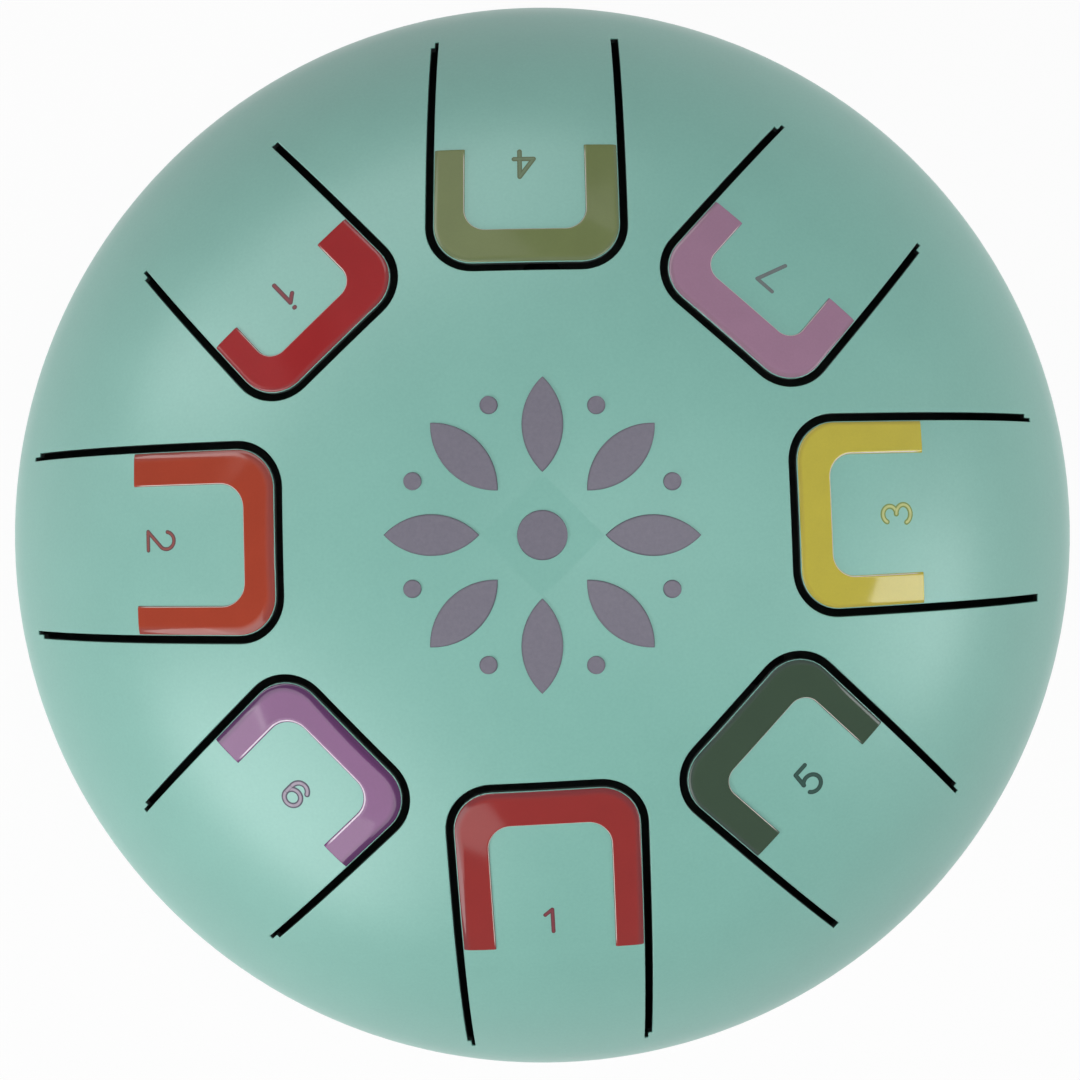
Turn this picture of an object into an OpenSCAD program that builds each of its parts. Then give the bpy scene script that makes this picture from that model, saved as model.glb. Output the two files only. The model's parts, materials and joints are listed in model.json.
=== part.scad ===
// Steel tongue drum with eight tongues, tuned to a major scale.
// Two pressed steel shells are welded rim to rim. Each tongue is cut free in the top shell by a U slot.
// The origin is the middle of the ground under the drum, +Z is up, and the lowest note points to -Y.

/* [Shells] */
// Outside diameter of the drum at its widest line
drum_d = 152; // [140:1:180]
// Height of each shell from the weld to its crown
dome_h = 38; // [34:0.5:42]
// Thickness of the steel sheet
wall_t = 1.2; // [0.8:0.1:2]
// Depth of the weld bead, which is also half of its width on the outside
weld_depth = 0.6; // [0.3:0.05:0.75]
// Diameter of the sound hole in the middle of the bottom shell
sound_hole_d = 50; // [30:1:60]

/* [Tongues] */
// Width of every tongue
tongue_w = 23; // [19:0.5:25]
// Distance in plan from the rim in to the lowest tongue's root, which sets how long and how low it is
low_root_inset = 7.1; // [5:0.1:11]
// Radius of the two corners at a tongue's tip
tongue_corner_r = 4.9; // [2:0.1:8]
// Width of the slot round a tongue
slot_w = 1; // [0.6:0.1:1.4]
// Length of the half wide start of the laser's cut, at each end of a slot
lead_in_len = 1; // [0.5:0.1:2]
// Gap at the root line, where the sheet is parted so that the tongue can swing
root_gap = 0.1; // [0.05:0.01:0.3]

/* [Colour bands] */
// Distance from a tongue's edge to the band on it
band_margin = 0.1; // [0.05:0.05:0.8]
// Width of a band along the tongue's two sides
band_leg_w = 3.9; // [2:0.1:6]
// Width of a band across the tongue's tip
band_tip_w = 4.4; // [2:0.1:6]
// Radius of a band's inner corners
band_inner_r = 3; // [1:0.1:5]
// Thickness of a band's clear resin
band_t = 0.3; // [0.2:0.05:1]
// Thickness of the glue film under bands and rosette
glue_t = 0.05; // [0.02:0.01:0.1]

/* [Centre rosette] */
// Distance from the drum's middle to the tips of the petals
rosette_r = 19; // [14:0.5:24]
// Length of a petal
petal_len = 11.5; // [8:0.5:13]
// Width of a petal at its middle
petal_w = 5; // [3:0.1:6]
// Diameter of the dots between the petals
dot_d = 2.2; // [1:0.1:3]
// Diameter of the dot in the middle
hub_dot_d = 6; // [3:0.2:10]
// Thickness of the vinyl
vinyl_t = 0.15; // [0.1:0.01:0.3]

/* [Feet] */
// Height of the bottom shell's lowest point, as its curve runs on across the sound hole, above the ground
ground_gap = 3; // [2:0.5:8]
// Distance of each foot's axis from the drum's middle
foot_ring_r = 42; // [36:1:50]
// Diameter of a foot where it meets the shell
foot_top_d = 17; // [14:0.5:22]
// Diameter of a foot at the ground
foot_base_d = 14; // [10:0.5:20]
// Width of the bevel round a foot's base
foot_bevel = 1; // [0.5:0.1:2]
// Diameter of the neck that passes through the shell
foot_neck_d = 6; // [4:0.5:9]
// Clearance round the neck in its hole
foot_neck_clear = 0.1; // [0.05:0.05:0.5]
// Diameter of the barb that snaps in behind the sheet
foot_barb_d = 8.4; // [7:0.2:12]
// Height of the barb above the sheet, at the foot's axis
foot_barb_h = 3; // [2:0.5:6]
// Diameter of the hollow up the foot's middle, which lets the barb squeeze through
foot_core_d = 3; // [1:0.5:3.5]

/* [Hidden] */
$fn = 96;

// Notes of the scale, by the number painted on the tongue, low to high
notes = ["1", "2", "3", "4", "5", "6", "7", "high_1"];

// Steps of a semitone from the lowest note up to each note
semitone_steps = [0, 2, 4, 5, 7, 9, 11, 12];
// Direction from the drum's middle to each tongue's root. The lowest notes face the player.
tongue_angles = [-86.9, -178.9, 2.3, 90.9, -41.8, -135.4, 49.1, 134.1];
// Each tongue's small shift to its left, as a share of its width
tongue_shift_shares = [-0.058, 0.008, 0.044, 0.059, -0.025, 0.039, -0.023, 0.07];
// Distance of each tip from the drum's middle, as a share of where neighbouring slots would meet
tip_shares = [1.024, 1.078, 1.034, 1.102, 1.055, 1.11, 1.095, 1.13];
// Fine tuning of each tongue's length, as a share of the length that its note asks for
tuning_shares = [1, 1.005, 1.02, 1.005, 1.015, 0.995, 1.01, 1];
// Width of each slot's start, right of its tongue, as a share of the slot's width
right_start_shares = [0.5, 0.5, 1, 1, 1, 0.5, 0.5, 1];
// The same left of the tongue, for every slot
left_start_share = 0.5;
// Length of each band's legs, as a share of its tongue's length
band_len_shares = [0.565, 0.53, 0.48, 0.48, 0.485, 0.46, 0.46, 0.43];
// Directions of the feet: behind, front left and front right
foot_angles = [90, 210, 330];
petals = 8;

drum_r = drum_d / 2;
// Distance from the middle at which the slots of neighbouring tongues would meet
meet_r = (tongue_w / 2 + slot_w) / tan(180 / len(notes));
// Height of the weld above the ground
joint_z = ground_gap + dome_h;
// Overrun of every cutting solid past what it cuts
overrun = wall_t;
// Height of the straight cutters, which reach past the crown from the weld's level
cutter_h = dome_h + overrun;

// The shell's section is a half ellipse, pressed as three arcs that run into each other.
// Their radii are shares of the ellipse's own radius at the crown, on average and at the rim.
crown_share = 0.92;
shoulder_share = 0.98;
knuckle_share = 1.1;
crown_r = crown_share * drum_r * drum_r / dome_h;
shoulder_r = shoulder_share * (drum_r + dome_h) / 2;
knuckle_r = knuckle_share * dome_h * dome_h / drum_r;

// The three centres and the arcs' meeting angles follow from the triangle between the centres.
crown_arm = crown_r - shoulder_r;
knuckle_arm = shoulder_r - knuckle_r;
span_x = drum_r - knuckle_r;
span_z = crown_r - dome_h;
span = norm([span_x, span_z]);
span_a = atan2(span_x, span_z);
crown_a = span_a - acos((crown_arm^2 + span^2 - knuckle_arm^2) / (2 * crown_arm * span));
shoulder_a = span_a + acos((knuckle_arm^2 + span^2 - crown_arm^2) / (2 * knuckle_arm * span));
crown_c = [0, dome_h - crown_r];
shoulder_c = crown_c + crown_arm * [sin(crown_a), cos(crown_a)];
knuckle_c = [span_x, 0];

// Steps in each arc, about 4 degrees each
crown_steps = 5;
shoulder_steps = 8;
knuckle_steps = 10;

// Points of an arc about c, with the angle measured from straight up
function arc(c, r, from_a, to_a, steps, first = 0) = [
    for (i = [first:steps])
        let (a = from_a + (to_a - from_a) * i / steps)
        c + r * [sin(a), cos(a)]
];
// The shell's section from crown to rim, moved outwards by off
function section(off) = concat(
    arc(crown_c, crown_r + off, 0, crown_a, crown_steps),
    arc(shoulder_c, shoulder_r + off, crown_a, shoulder_a, shoulder_steps, 1),
    arc(knuckle_c, knuckle_r + off, shoulder_a, 90, knuckle_steps, 1)
);
// Height of the shell's outside above the weld, at a distance x from the axis
function section_z(x) = lookup(x, section(0));
function reversed(points) = [for (i = [len(points) - 1:-1:0]) points[i]];

// A tongue's length falls by the square root of two for each octave, because its pitch rises with the
// inverse square of its length. The lowest tongue reaches from the middle out to near the rim.
function tip_u(i) = meet_r * tip_shares[i];
low_tongue_len = drum_r - low_root_inset - tip_u(0);
function tongue_len(i) = low_tongue_len * pow(2, -semitone_steps[i] / 24) * tuning_shares[i];
function root_u(i) = tip_u(i) + tongue_len(i);

// A layer that follows the dome, between two distances from its outside
module dome_layer(outer, inner) {
    rotate_extrude() polygon(concat(section(outer), reversed(section(inner))));
}

// Everything under the dome, moved outwards by off
module dome_fill(off) {
    rotate_extrude() polygon(concat([[0, 0]], section(off)));
}

module in_top_shell() {
    translate([0, 0, joint_z]) children();
}

module in_bottom_shell() {
    translate([0, 0, joint_z]) mirror([0, 0, 1]) children();
}

// The V groove between the two rims, which the weld fills
module weld_groove() {
    reach = weld_depth + overrun;
    rotate_extrude() polygon([
        [drum_r - weld_depth, 0],
        [drum_r - weld_depth + reach, reach],
        [drum_r - weld_depth + reach, -reach]
    ]);
}

// Outline of a tongue: straight sides, a square root, and a tip with two round corners
module finger(w, tip, root, r) {
    translate([tip + r, -w / 2]) square([root - tip - r, w]);
    translate([tip, r - w / 2]) square([2 * r, w - 2 * r]);
    for (side = [-1, 1]) translate([tip + r, side * (w / 2 - r)]) circle(r = r);
}

module at_tongue(i) {
    rotate(tongue_angles[i]) translate([0, tongue_shift_shares[i] * tongue_w]) children();
}

// What the laser frees for tongue i: the tongue with its slot, and the start of each cut, often half wide
module slot_outline(i) {
    right_start = slot_w * right_start_shares[i];
    left_start = slot_w * left_start_share;
    at_tongue(i) {
        finger(tongue_w + 2 * slot_w, tip_u(i) - slot_w, root_u(i) - lead_in_len, tongue_corner_r + slot_w);
        translate([root_u(i) - 2 * lead_in_len, -tongue_w / 2 - right_start])
            square([2 * lead_in_len, tongue_w + right_start + left_start]);
    }
}

module tongue_outline(i) {
    at_tongue(i) finger(tongue_w, tip_u(i), root_u(i) - root_gap, tongue_corner_r);
}

module band_outline(i) {
    band_w = tongue_w - 2 * band_margin;
    leg_end = tip_u(i) + band_len_shares[i] * tongue_len(i);
    at_tongue(i) difference() {
        finger(band_w, tip_u(i) + band_margin, leg_end, tongue_corner_r - band_margin);
        finger(band_w - 2 * band_leg_w, tip_u(i) + band_margin + band_tip_w, leg_end + overrun, band_inner_r);
    }
}

// A pointed petal is where two round discs overlap.
module petal_outline() {
    half = petal_len / 2;
    disc_r = (half^2 + (petal_w / 2)^2) / petal_w;
    translate([rosette_r - half, 0]) intersection() {
        translate([0, disc_r - petal_w / 2]) circle(r = disc_r);
        translate([0, petal_w / 2 - disc_r]) circle(r = disc_r);
    }
}

module rosette_outline() {
    circle(d = hub_dot_d);
    for (i = [0:petals - 1]) {
        rotate(360 * i / petals) petal_outline();
        rotate(360 * (i + 0.5) / petals) translate([rosette_r - dot_d, 0]) circle(d = dot_d);
    }
}

module top_shell() {
    color("#86bcad") in_top_shell() difference() {
        dome_layer(0, -wall_t);
        weld_groove();
        for (i = [0:len(notes) - 1]) linear_extrude(cutter_h) slot_outline(i);
    }
}

module bottom_shell() {
    color("#86bcad") in_bottom_shell() difference() {
        dome_layer(0, -wall_t);
        weld_groove();
        cylinder(h = cutter_h, d = sound_hole_d);
        for (a = foot_angles) rotate(a) translate([foot_ring_r, 0])
            cylinder(h = cutter_h, d = foot_neck_d + 2 * foot_neck_clear);
    }
}

module rim_weld() {
    color("#7fb3a5") translate([0, 0, joint_z]) intersection() {
        weld_groove();
        union() {
            dome_layer(0, -2 * wall_t);
            mirror([0, 0, 1]) dome_layer(0, -2 * wall_t);
        }
    }
}

module tongue(i) {
    color("#8cc2b3") in_top_shell() intersection() {
        dome_layer(0, -wall_t);
        linear_extrude(cutter_h) tongue_outline(i);
    }
}

module band(i) {
    tints = ["#a8343a", "#b5482c", "#cfc04a", "#7f8a4c", "#3d4f40", "#8f5d94", "#9c7592", "#a8343a"];
    color(tints[i]) in_top_shell() intersection() {
        dome_layer(glue_t + band_t, glue_t);
        linear_extrude(cutter_h) band_outline(i);
    }
}

// The layer is turned by a quarter of the petals' pitch, so that no petal or dot starts on its seam.
module centre_rosette() {
    color("#73707c") in_top_shell() intersection() {
        rotate(90 / petals) dome_layer(glue_t + vinyl_t, glue_t);
        linear_extrude(cutter_h) rosette_outline();
    }
}

// A rubber foot, flat on the ground, whose neck snaps through the bottom shell
module foot(a) {
    base_r = foot_base_d / 2;
    top_r = foot_top_d / 2;
    barb_r = foot_barb_d / 2;
    neck_r = foot_neck_d / 2;
    core_r = foot_core_d / 2;
    pad_h = joint_z / 2;
    sheet_z = joint_z - section_z(foot_ring_r);
    color("#2b2b2d") difference() {
        union() {
            difference() {
                rotate(a) translate([foot_ring_r, 0]) rotate_extrude() polygon([
                    [0, 0],
                    [base_r - foot_bevel, 0],
                    [base_r, foot_bevel],
                    [top_r, sheet_z],
                    [top_r, pad_h],
                    [0, pad_h]
                ]);
                in_bottom_shell() dome_fill(0);
            }
            rotate(a) translate([foot_ring_r, 0, foot_bevel])
                cylinder(h = sheet_z + wall_t - foot_bevel, r = neck_r);
            intersection() {
                rotate(a) translate([foot_ring_r, 0, sheet_z])
                    cylinder(h = wall_t + foot_barb_h, r1 = barb_r, r2 = neck_r);
                in_bottom_shell() dome_fill(-wall_t);
            }
        }
        rotate(a) translate([foot_ring_r, 0, -overrun])
            cylinder(h = sheet_z + wall_t + overrun, r = core_r);
    }
}

top_shell();
bottom_shell();
rim_weld();
for (i = [0:len(notes) - 1]) tongue(i);
for (i = [0:len(notes) - 1]) band(i);
centre_rosette();
foot(foot_angles[0]);  // rear_foot
foot(foot_angles[1]);  // left_foot
foot(foot_angles[2]);  // right_foot
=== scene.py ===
# %% [markdown]
# # A steel tongue drum, dressed for the camera
# The construction comes from the CAD model: two pressed shells, eight sprung tongues, bands, feet.
# This script gives each of them the surface that the real one has, in the same frame and in metres.
# Every shape below is a formula evaluated on a whole numpy array at once, so a size can be changed
# in one place and the surfaces follow.

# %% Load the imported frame
import json

import bpy
import numpy as np
from mathutils.geometry import delaunay_2d_cdt
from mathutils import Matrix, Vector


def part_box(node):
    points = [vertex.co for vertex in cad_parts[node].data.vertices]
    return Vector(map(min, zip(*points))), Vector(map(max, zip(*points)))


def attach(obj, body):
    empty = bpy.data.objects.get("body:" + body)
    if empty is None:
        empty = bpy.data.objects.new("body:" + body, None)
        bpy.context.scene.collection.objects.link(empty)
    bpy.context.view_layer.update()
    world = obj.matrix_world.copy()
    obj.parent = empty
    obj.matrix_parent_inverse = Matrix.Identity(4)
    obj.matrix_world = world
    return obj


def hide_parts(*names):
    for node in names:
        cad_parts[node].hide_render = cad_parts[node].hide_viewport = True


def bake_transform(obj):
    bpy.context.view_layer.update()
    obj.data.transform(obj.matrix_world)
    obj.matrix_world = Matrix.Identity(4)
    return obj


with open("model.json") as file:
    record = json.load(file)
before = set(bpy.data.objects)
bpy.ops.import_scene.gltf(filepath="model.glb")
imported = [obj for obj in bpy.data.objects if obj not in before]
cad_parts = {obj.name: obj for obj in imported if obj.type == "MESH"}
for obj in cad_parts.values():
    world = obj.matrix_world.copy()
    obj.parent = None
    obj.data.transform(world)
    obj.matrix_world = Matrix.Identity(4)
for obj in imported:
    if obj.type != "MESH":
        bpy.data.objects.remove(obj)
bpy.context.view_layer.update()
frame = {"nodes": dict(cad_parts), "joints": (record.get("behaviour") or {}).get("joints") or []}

MM = 0.001

# %% [markdown]
# ## Sizes of the drum
# The drum's radius, the height of the weld and the height of the dome are read from the frame, so
# they can't drift away from the CAD model. Sizes of the finish, such as how far the paint rounds
# an edge, belong to this script and are named here in millimetres times MM.

# %% Driving sizes
shell_low, shell_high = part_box("top_shell")
drum_radius = shell_high.x
weld_height = shell_low.z
dome_height = shell_high.z - weld_height
sheet = 1.2 * MM
slot_width = 1.0 * MM
lead_in_length = 1.0 * MM
tongue_width = 23.0 * MM
tip_corner = 4.9 * MM
weld_half = 0.6 * MM
paint_edge = 0.12 * MM
paint_reach = 0.25 * MM
print("drum radius %.1f mm, dome %.1f mm high, weld at %.1f mm"
      % (drum_radius / MM, dome_height / MM, weld_height / MM))

# %% [markdown]
# ## The dome's section
# A pressed shell is close to half an ellipse, but a press tool is cut as arcs that run into each
# other. Three arcs do it here: crown, shoulder and knuckle. One could also use a superellipse or a
# Bezier curve. Arcs were chosen because their normals are exact, and a glossy coat shows every
# error in a normal. A thinner or thicker shell keeps the same three centres with other radii.

# %% Three arcs
crown_r = 0.92 * drum_radius ** 2 / dome_height
shoulder_r = 0.98 * (drum_radius + dome_height) / 2
knuckle_r = 1.1 * dome_height ** 2 / drum_radius
crown_arm = crown_r - shoulder_r
knuckle_arm = shoulder_r - knuckle_r
span = np.hypot(drum_radius - knuckle_r, crown_r - dome_height)
span_tilt = np.arctan2(drum_radius - knuckle_r, crown_r - dome_height)


def angle_opposite(opposite, one, other):
    """The cosine rule: the angle of a triangle from its three sides."""
    return np.arccos((one ** 2 + other ** 2 - opposite ** 2) / (2 * one * other))


crown_tilt = span_tilt - angle_opposite(knuckle_arm, crown_arm, span)
shoulder_tilt = span_tilt + angle_opposite(crown_arm, knuckle_arm, span)
arc_radius = np.array([crown_r, shoulder_r, knuckle_r])
arc_x = np.array([0, crown_arm * np.sin(crown_tilt), drum_radius - knuckle_r])
arc_z = np.array([dome_height - crown_r, dome_height - crown_r + crown_arm * np.cos(crown_tilt), 0])
arc_start = np.array([0, crown_tilt, shoulder_tilt])
run_start = np.array([0, crown_r * crown_tilt,
                      crown_r * crown_tilt + shoulder_r * (shoulder_tilt - crown_tilt)])
print("arcs of radius", np.round(arc_radius / MM, 1), "mm, meeting at", np.degrees(arc_start[1:]).round(1))


def tilt_at(distance, depth=0):
    """Angle of the dome's normal from straight up, at a distance from the axis. On each arc its sine
    is (distance - centre) / radius. The arc is the one whose span holds the distance."""
    radius = arc_radius - depth
    starts = arc_x[1:] + radius[1:] * np.sin(arc_start[1:])
    part = np.searchsorted(starts, distance, side="right")
    return np.arcsin(np.clip((distance - arc_x[part]) / radius[part], 0, 1))


def dome_at(tilt, depth=0):
    """Distance from the axis and height above the weld where the normal has this tilt."""
    part = np.searchsorted(arc_start[1:], tilt, side="right")
    radius = arc_radius[part] - depth
    return arc_x[part] + radius * np.sin(tilt), arc_z[part] + radius * np.cos(tilt)


def run_at(tilt):
    """Length along the section from the crown: the arcs' lengths up to that tilt, added up."""
    part = np.searchsorted(arc_start[1:], tilt, side="right")
    return run_start[part] + arc_radius[part] * (tilt - arc_start[part])


def tilt_of_run(run):
    """The inverse of run_at."""
    part = np.searchsorted(run_start[1:], run, side="right")
    return arc_start[part] + (run - run_start[part]) / arc_radius[part]


# %% [markdown]
# ## Laying flat outlines on the dome
# Slots, bands, numbers and petals are all drawn flat, as seen from above, and then dropped onto
# the dome. The laser that cuts the slots works the same way, straight down. Each laid point gets
# the dome's own normal, which is what keeps the highlights smooth over coarse faces.

# %% Drop plan points on the dome
def lay(plan, depth=0.0):
    """Plan points (..., 2) on the top dome's paint, or on the surface that lies depth inside it.
    Height is the weld's height plus the section's height at that distance. Returns points and normals."""
    plan = np.asarray(plan, float)
    distance = np.linalg.norm(plan, axis=-1)
    tilt = tilt_at(distance, depth)
    _, height = dome_at(tilt, depth)
    around = plan / np.maximum(distance, 1e-9)[..., None]
    normal = np.concatenate([around * np.sin(tilt)[..., None], np.cos(tilt)[..., None]], axis=-1)
    point = np.concatenate([plan, (weld_height + height)[..., None]], axis=-1)
    return point, normal


def unit(v):
    """Vectors scaled to length one."""
    return v / np.maximum(np.linalg.norm(v, axis=-1, keepdims=True), 1e-12)


# %% [markdown]
# ## From grids to closed meshes
# Each piece is sewn from patches: grids of points with a normal at every point. Where two patches
# share an edge, their points coincide, and the sewing merges them, so the piece is closed. The
# normals stay with the face corners, so a rounded paint edge stays soft and a cut wall stays crisp.

# %% Sew patches into one mesh
same_point = 1e-7


class Patches:
    """Collects triangles with a normal at each corner and a material number, and sews them together."""

    def __init__(self):
        self.points, self.normals, self.faces, self.finish = [], [], [], []
        self.marks = {"shore": [], "lip": [], "end": []}
        self.count = 0

    def add(self, points, normals, faces, finish=0, **marks):
        """Triangles given as rows of three point numbers. shore, lip and end are each point's distances
        in millimetres to an outer edge, an inner edge and a cut end, for materials that change there."""
        self.points.append(np.reshape(points, (-1, 3)))
        self.normals.append(np.reshape(np.broadcast_to(normals, np.shape(points)), (-1, 3)))
        for name, kept in self.marks.items():
            kept.append(np.ravel(np.broadcast_to(marks.get(name, 0.0), np.shape(points)[:-1])))
        self.faces.append(np.asarray(faces) + self.count)
        self.finish.append(np.full(len(faces), finish))
        self.count += len(self.points[-1])

    def grid(self, points, normals, finish=0, closed=False, **marks):
        """A grid of rows and columns. Its faces point along (next column) x (next row)."""
        rows, columns = np.shape(points)[:2]
        number = np.arange(rows * columns).reshape(rows, columns)
        if closed:
            number = np.concatenate([number, number[:, :1]], axis=1)
        a, b = number[:-1, :-1].ravel(), number[:-1, 1:].ravel()
        c, d = number[1:, 1:].ravel(), number[1:, :-1].ravel()
        faces = np.concatenate([np.stack([a, b, c], 1), np.stack([a, c, d], 1)])
        self.add(points, normals, faces, finish, **marks)

    def sew(self, name, materials):
        """Merges points that share a cell a tenth of a micron wide and makes the Blender object."""
        points, normals = np.concatenate(self.points), np.concatenate(self.normals)
        faces, finish = np.concatenate(self.faces), np.concatenate(self.finish)
        cells = np.round(points / same_point)
        _, first, merged = np.unique(cells, axis=0, return_index=True, return_inverse=True)
        joined = merged.reshape(-1)[faces]
        real = ((joined[:, 0] != joined[:, 1]) & (joined[:, 1] != joined[:, 2])
                & (joined[:, 0] != joined[:, 2]))
        joined, faces, finish = joined[real], faces[real], finish[real]
        mesh = bpy.data.meshes.new(name)
        mesh.from_pydata(points[first], [], joined)
        mesh.polygons.foreach_set("material_index", finish.astype(np.int32))
        mesh.polygons.foreach_set("use_smooth", np.ones(len(joined), bool))
        mesh.normals_split_custom_set(unit(normals[faces].reshape(-1, 3)))
        for mark, kept in self.marks.items():
            values = mesh.attributes.new(mark, "FLOAT", "POINT").data
            values.foreach_set("value", np.concatenate(kept)[first])
        for material in materials:
            mesh.materials.append(material)
        mesh.update()
        piece = bpy.data.objects.new(name, mesh)
        bpy.context.scene.collection.objects.link(piece)
        return piece


def report(piece):
    """Prints a piece's size, its triangles, how many of its edges don't join exactly two faces, and its
    volume, which is the sum of a . (b x c) / 6 and is positive when the faces point outwards."""
    mesh = piece.data
    corners = np.empty(len(mesh.vertices) * 3)
    mesh.vertices.foreach_get("co", corners)
    rows = np.empty(len(mesh.loops), np.int64)
    mesh.loops.foreach_get("vertex_index", rows)
    a, b, c = corners.reshape(-1, 3)[rows.reshape(-1, 3)].transpose(1, 0, 2)
    volume = (a * np.cross(b, c)).sum() / 6 / MM ** 3
    pairs = np.empty(len(mesh.loops), np.int64)
    mesh.loops.foreach_get("edge_index", pairs)
    open_edges = int((np.bincount(pairs, minlength=len(mesh.edges)) != 2).sum())
    size = [round(c / MM, 1) for c in piece.dimensions]
    print("%-22s %6d triangles, %s mm, %.1f mm3, %d open edges"
          % (piece.name, len(mesh.polygons), size, volume, open_edges))


# %% [markdown]
# ## Shader maths as plain sums
# A material here is a page of arithmetic: a noise times a share plus a colour. The small class below
# wraps a socket so that such sums can be written as sums, and adds a Math node for each of them.

# %% A socket that can be added and multiplied
class Wire:
    """A number that varies over a surface. Sums and products of wires add Math nodes."""

    def __init__(self, finish, socket):
        self.finish, self.socket = finish, socket

    def maths(self, operation, *values):
        node = self.finish.node("ShaderNodeMath", {"operation": operation}, dict(enumerate(values)))
        return Wire(self.finish, node.outputs[0])

    def __add__(self, other):
        return self.maths("ADD", self, other)

    def __sub__(self, other):
        return self.maths("SUBTRACT", self, other)

    def __rsub__(self, other):
        return self.maths("SUBTRACT", other, self)

    def __mul__(self, other):
        return self.maths("MULTIPLY", self, other)

    def between(self, low, high):
        """0 below low, 1 above high, and a soft step between them."""
        settings = {"interpolation_type": "SMOOTHSTEP"}
        node = self.finish.node("ShaderNodeMapRange", settings, {0: self, 1: low, 2: high})
        return Wire(self.finish, node.outputs[0])

    __radd__ = __add__
    __rmul__ = __mul__


class Page:
    """An empty page of nodes, for a material or for the room."""

    def __init__(self, owner):
        owner.use_nodes = True
        self.tree = owner.node_tree
        self.tree.nodes.clear()

    def node(self, kind, settings=None, sockets=None):
        """Adds a node: its settings first, then the values or links of its sockets."""
        made = self.tree.nodes.new(kind)
        for key, value in (settings or {}).items():
            setattr(made, key, value)
        self.plug(made, sockets or {})
        return made

    def plug(self, made, sockets):
        for key, value in sockets.items():
            value = value.socket if isinstance(value, Wire) else value
            if isinstance(value, bpy.types.NodeSocket):
                self.tree.links.new(value, made.inputs[key])
            else:
                made.inputs[key].default_value = value

    def followed_as(self, *kinds):
        """1 where light is followed as one of these kinds of ray, and 0 elsewhere: the largest of them."""
        path = self.node("ShaderNodeLightPath")
        seen = Wire(self, path.outputs[kinds[0]])
        for kind in kinds[1:]:
            seen = seen.maths("MAXIMUM", seen, path.outputs[kind])
        return seen


class Finish(Page):
    """A node material with one Principled shader, and a method for each pattern that it needs."""

    def __init__(self, name, **constants):
        self.material = bpy.data.materials.new(name)
        super().__init__(self.material)
        self.shader = self.node("ShaderNodeBsdfPrincipled", {}, constants)
        self.output = self.node("ShaderNodeOutputMaterial", {}, {"Surface": self.shader.outputs[0]})
        self.place = self.node("ShaderNodeTexCoord").outputs["Object"]

    def noise(self, size, detail=2.0, roughness=0.5):
        """A noise whose blotches are about size metres across, from 0 to 1."""
        sockets = {"Vector": self.place, "Scale": 1 / size, "Detail": detail, "Roughness": roughness}
        return Wire(self, self.node("ShaderNodeTexNoise", {}, sockets).outputs["Fac"])

    def mix(self, share, low, high):
        """A colour between low and high."""
        sockets = {0: share, 6: low, 7: high}
        return self.node("ShaderNodeMix", {"data_type": "RGBA"}, sockets).outputs[2]

    def attribute(self, name):
        """A number that the mesh carries at its points."""
        return Wire(self, self.node("ShaderNodeAttribute", {"attribute_name": name}).outputs["Fac"])

    def bump(self, height, distance):
        """The shader's normal, tilted by a height map of that depth in metres."""
        sockets = {"Height": height, "Distance": distance, "Strength": 1.0}
        self.plug(self.shader, {"Normal": self.node("ShaderNodeBump", {}, sockets).outputs[0]})


def srgb(r, g, b):
    """A colour as a paint chart gives it, 0 to 255, turned to the linear values that shaders use."""
    c = np.array([r, g, b]) / 255
    linear = np.where(c <= 0.04045, c / 12.92, ((c + 0.055) / 1.055) ** 2.4)
    return (*linear, 1.0)


# %% [markdown]
# ## Mint paint
# The shells are sprayed and cleared with a satin lacquer. Close up it has an orange peel under a
# millimetre across, and a faint mottle where the spray lay thicker. A flat green would look like
# plastic, so both are mixed in, weakly.

# %% Mint paint on the shells
def mint_paint(name):
    finish = Finish(name, **{"Coat Weight": 0.4, "Coat Roughness": 0.3, "Coat IOR": 1.5,
                             "Specular IOR Level": 0.45})
    mottle = finish.noise(9 * MM, detail=3)
    grain = finish.noise(0.35 * MM, detail=1)
    share = mottle * 0.5 + grain * 0.5
    colour = finish.mix(share, srgb(119, 176, 164), srgb(134, 192, 179))
    finish.plug(finish.shader, {"Base Color": colour, "Roughness": 0.40 + 0.10 * mottle})
    peel = finish.noise(0.9 * MM, detail=2) * 0.7 + grain * 0.3
    finish.bump(peel, 0.011 * MM)
    return finish.material


shell_paint = mint_paint("mint_paint")


# %% Dark inside and cut walls
def dark_inside():
    """A thin dark primer. With hardly any light on it the eye sees it as black."""
    finish = Finish("dark_inside")
    scale = finish.noise(1.5 * MM, detail=4)
    finish.plug(finish.shader, {"Base Color": finish.mix(scale, srgb(58, 64, 64), srgb(80, 84, 82)),
                                "Roughness": 0.5 + 0.25 * scale})
    finish.bump(scale, 0.02 * MM)
    return finish.material


inside = dark_inside()
print("materials so far:", [m.name for m in bpy.data.materials])

# %% [markdown]
# ## Reading the eight tongues from the frame
# Each tongue swings on a hinge in the CAD model, and the hinge's place and axis say where the
# tongue lies: the axis runs across the tongue at its root, so turning it a quarter gives the way
# out from the drum's middle. The tip and the ends of the band are the furthest points of the CAD
# nodes, measured along that way.

# %% One record per tongue
def reach_along(node, direction):
    """Least and greatest distance of a CAD node's points along a level direction."""
    mesh = frame["nodes"][node].data
    points = np.empty(len(mesh.vertices) * 3)
    mesh.vertices.foreach_get("co", points)
    along = points.reshape(-1, 3)[:, :2] @ direction
    return along.min(), along.max()


root_gap = 0.1 * MM


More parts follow.
